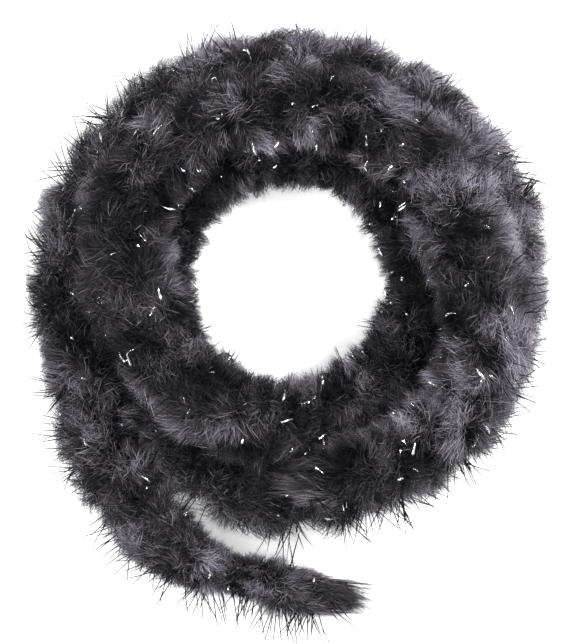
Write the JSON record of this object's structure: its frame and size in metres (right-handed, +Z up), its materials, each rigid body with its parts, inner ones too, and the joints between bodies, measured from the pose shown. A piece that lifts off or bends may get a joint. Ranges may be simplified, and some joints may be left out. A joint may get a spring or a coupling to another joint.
{
  "type": "feather boa",
  "caption": "Fluffy plume boa with metallic filaments, wound flat in a loose coil with its end left out as a short tail.",
  "frame": {"origin": "on the surface that the boa rests on, below the middle of its outline", "axes": "+Z up, out of the coil; +Y away from the tail, along the longest side of the outline"},
  "size_m": [0.2564, 0.3066, 0.076],
  "materials": {
    "marabou_plumes": "matte, charcoal black marabou fluff",
    "core_cord": "matte, black three-ply cotton cord",
    "binding_thread": "satin, black polyester thread",
    "lurex": "bright, slit metallised film"
  },
  "bodies": {
    "coil": {"core_cord_coil": "core_cord", "binding_thread_coil": "binding_thread", "lurex_strand_coil": "lurex", "end_whipping": "binding_thread", "end_knot": "core_cord", "plume_bank_01": "marabou_plumes", "plume_bank_02": "marabou_plumes", "plume_bank_03": "marabou_plumes", "plume_bank_04": "marabou_plumes", "plume_bank_05": "marabou_plumes", "plume_bank_06": "marabou_plumes", "plume_bank_07": "marabou_plumes", "plume_bank_08": "marabou_plumes", "plume_bank_09": "marabou_plumes", "plume_bank_10": "marabou_plumes", "plume_bank_11": "marabou_plumes", "plume_bank_12": "marabou_plumes", "plume_bank_13": "marabou_plumes", "plume_bank_14": "marabou_plumes", "plume_bank_15": "marabou_plumes", "plume_bank_16": "marabou_plumes", "plume_bank_17": "marabou_plumes", "plume_bank_18": "marabou_plumes", "plume_bank_19": "marabou_plumes", "plume_bank_20": "marabou_plumes", "plume_bank_21": "marabou_plumes", "plume_bank_22": "marabou_plumes", "plume_bank_23": "marabou_plumes", "plume_bank_24": "marabou_plumes", "plume_bank_25": "marabou_plumes", "plume_bank_26": "marabou_plumes", "plume_bank_27": "marabou_plumes", "plume_bank_28": "marabou_plumes"},
    "tail_root": {"core_cord_tail_root": "core_cord", "binding_thread_tail_root": "binding_thread", "lurex_strand_tail_root": "lurex", "tail_root_plumes": "marabou_plumes"},
    "tail_tip": {"core_cord_tail_tip": "core_cord", "binding_thread_tail_tip": "binding_thread", "lurex_strand_tail_tip": "lurex", "tail_tip_plumes": "marabou_plumes", "tail_whipping": "binding_thread", "tail_knot": "core_cord"}
  },
  "joints": [
    {"name": "tail_swing", "type": "hinge", "parent": "coil", "child": "tail_root", "pos_m": [-0.07033, -0.10399, 0.01847], "axis": [0, 0, 1], "range_deg": [-40, 4]},
    {"name": "tail_tip_bend", "type": "hinge", "parent": "tail_root", "child": "tail_tip", "pos_m": [-0.02707, -0.12951, 0.0122], "axis": [0, 0, 1], "range_deg": [-35, 15]}
  ]
}
